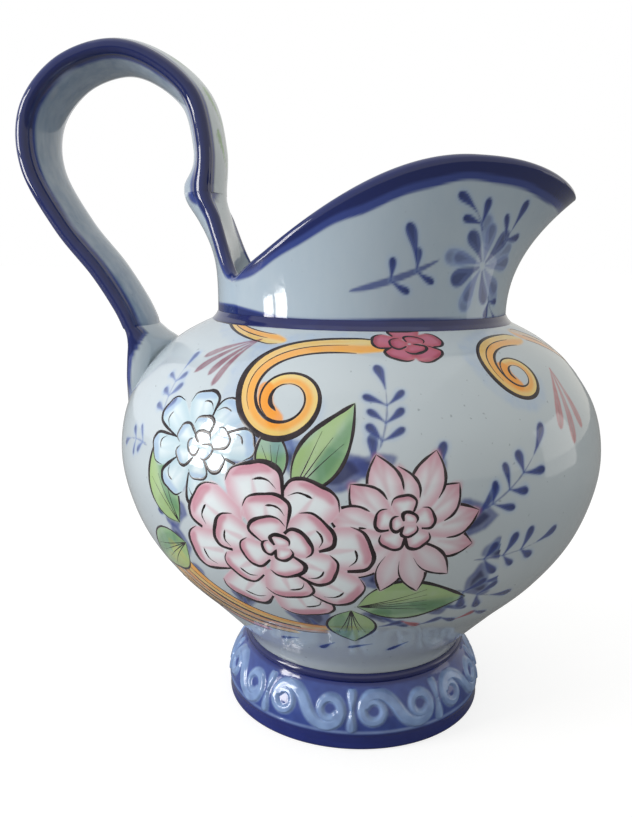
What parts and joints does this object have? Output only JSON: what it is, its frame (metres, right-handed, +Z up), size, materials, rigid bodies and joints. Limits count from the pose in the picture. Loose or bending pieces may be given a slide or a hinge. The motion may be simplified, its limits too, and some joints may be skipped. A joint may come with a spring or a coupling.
{
  "type": "ceramic pitcher",
  "caption": "Round-bellied glazed pitcher on a pedestal foot, with a flared pouring spout and a tall strap handle.",
  "frame": {"origin": "centre of the foot's standing rim, on the surface that the pitcher stands on", "axes": "+X from the handle to the spout, +Y to the left when looking along +X, +Z up"},
  "size_m": [0.2376, 0.1974, 0.272],
  "materials": {
    "painted_glaze": "pale blue tin glaze, hand painted, glossy",
    "cobalt_glaze": "cobalt blue brushed under a glossy clear glaze"
  },
  "bodies": {
    "root": {"foot": "cobalt_glaze", "foot_joint_ring": "cobalt_glaze", "belly": "painted_glaze", "neck_joint_ring": "cobalt_glaze", "neck": "painted_glaze", "handle_top_joint": "painted_glaze", "handle": "painted_glaze", "handle_base_joint": "painted_glaze"}
  },
  "joints": []
}
